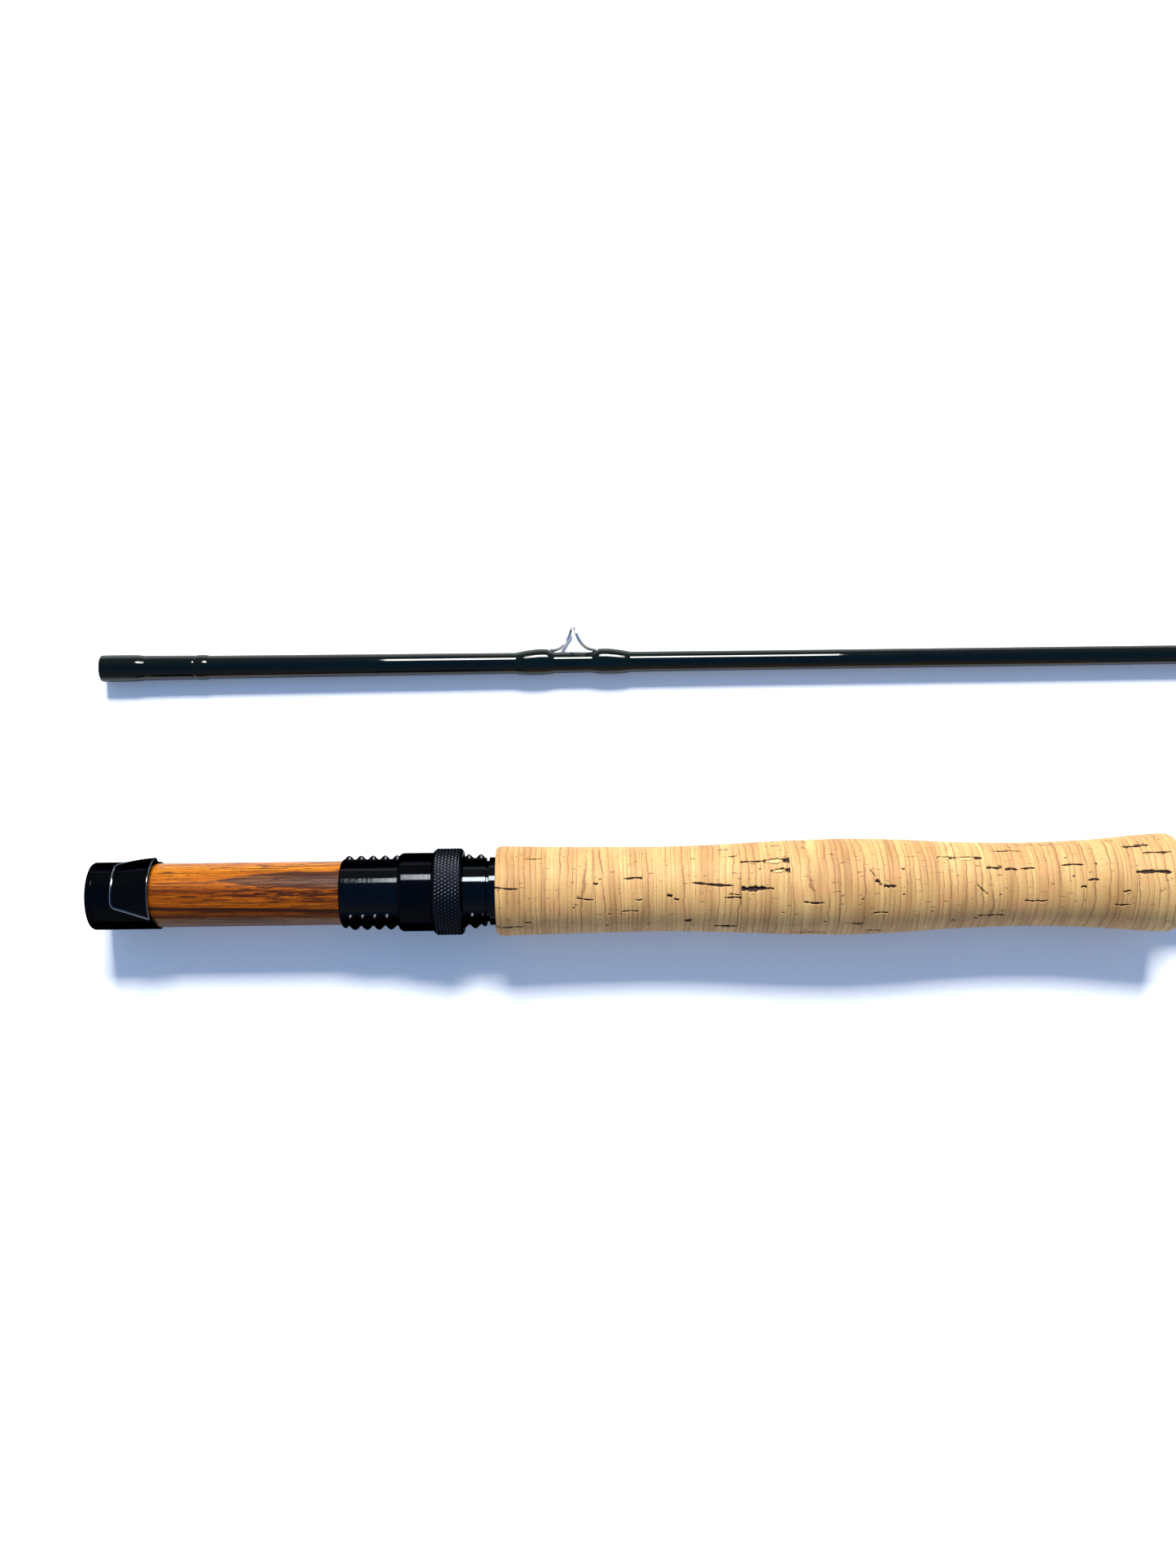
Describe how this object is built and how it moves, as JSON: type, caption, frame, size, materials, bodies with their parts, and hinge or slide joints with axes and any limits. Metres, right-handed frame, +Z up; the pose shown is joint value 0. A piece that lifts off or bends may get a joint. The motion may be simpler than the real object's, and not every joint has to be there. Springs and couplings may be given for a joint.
{
  "type": "two-piece fly rod",
  "caption": "Fly rod taken apart: butt section with cork grip and screw-locking reel seat with a wooden insert, and tip section with wire line guides under thread wraps.",
  "frame": {"origin": "centre of the butt cap's flat end face, on the butt section's axis", "axes": "+X along the butt section from the butt cap to the male ferrule, +Z up, +Y towards the tip section lying beside it"},
  "size_m": [1.1694, 0.0845, 0.0312],
  "materials": {
    "black_anodised": "gloss black anodised",
    "black_knurled": "satin black anodised",
    "figured_wood": "varnished, dark figure and pores",
    "cork": "bare sanded cork with dark pits",
    "arbor_tape": "crepe paper tape",
    "green_blank": "gloss dark green, glass fibre",
    "black_plug": "matt black",
    "green_wrap": "dark green thread under gloss epoxy",
    "dark_wrap": "near-black green thread under gloss epoxy",
    "clear_coat": "clear gloss epoxy over dark green",
    "bright_wire": "polished chromed wire",
    "guide_ceramic": "polished black ceramic"
  },
  "bodies": {
    "butt_section": {"butt_cap": "black_anodised", "fixed_hood": "black_anodised", "wood_insert": "figured_wood", "threaded_barrel": "black_knurled", "seat_arbor_rear": "arbor_tape", "seat_arbor_middle": "arbor_tape", "seat_arbor_front": "arbor_tape", "winding_check": "black_anodised", "butt_blank": "green_blank", "ferrule_plug": "black_plug", "front_wrap": "green_wrap", "hook_keeper": "bright_wire", "stripping_guide_frame": "bright_wire", "stripping_guide_ring": "guide_ceramic", "stripping_guide_wraps": "green_wrap", "butt_snake_guide": "bright_wire", "butt_snake_wraps": "green_wrap", "cork_ring_1": "cork", "cork_ring_2": "cork", "cork_ring_3": "cork", "cork_ring_4": "cork", "cork_ring_5": "cork", "cork_ring_6": "cork", "cork_ring_7": "cork", "cork_ring_8": "cork", "cork_ring_9": "cork", "cork_ring_10": "cork", "cork_ring_11": "cork", "cork_ring_12": "cork", "cork_ring_13": "cork", "cork_ring_14": "cork"},
    "sliding_hood": {"sliding_hood": "black_anodised"},
    "lock_ring": {"lock_ring": "black_knurled"},
    "keeper_ring": {"keeper_ring": "bright_wire"},
    "tip_section": {"tip_blank": "green_blank", "ferrule_wrap": "dark_wrap", "label_coat": "clear_coat", "ferrule_trim_wrap": "dark_wrap", "tip_top": "bright_wire", "tip_top_wrap": "green_wrap", "snake_guide_1": "bright_wire", "snake_guide_2": "bright_wire", "snake_guide_3": "bright_wire", "snake_guide_4": "bright_wire", "snake_guide_5": "bright_wire", "snake_guide_6": "bright_wire", "snake_guide_7": "bright_wire", "snake_wraps_1": "green_wrap", "snake_wraps_2": "green_wrap", "snake_wraps_3": "green_wrap", "snake_wraps_4": "green_wrap", "snake_wraps_5": "green_wrap", "snake_wraps_6": "green_wrap", "snake_wraps_7": "green_wrap"}
  },
  "joints": [
    {"name": "hood_slide", "type": "slide", "parent": "butt_section", "child": "sliding_hood", "axis": [1, 0, 0], "range_m": [-0.0145, 0.0062]},
    {"name": "lock_ring_turn", "type": "hinge", "parent": "sliding_hood", "child": "lock_ring", "pos_m": [0.09415, 0, 0], "axis": [1, 0, 0], "range_deg": [-1640, 700]},
    {"name": "keeper_ring_fold", "type": "hinge", "parent": "butt_section", "child": "keeper_ring", "pos_m": [0.303, 0.00254, 0.00545], "axis": [0, -0.9063, 0.4226], "range_deg": [0, 150]},
    {"name": "tip_section_lift", "type": "slide", "parent": "butt_section", "child": "tip_section", "axis": [0, 0, 1], "range_m": [0, 0.12]}
  ],
  "couplings": [
    {"joint": "hood_slide", "follows": "lock_ring_turn", "m_per_rad": 0.00050532}
  ]
}
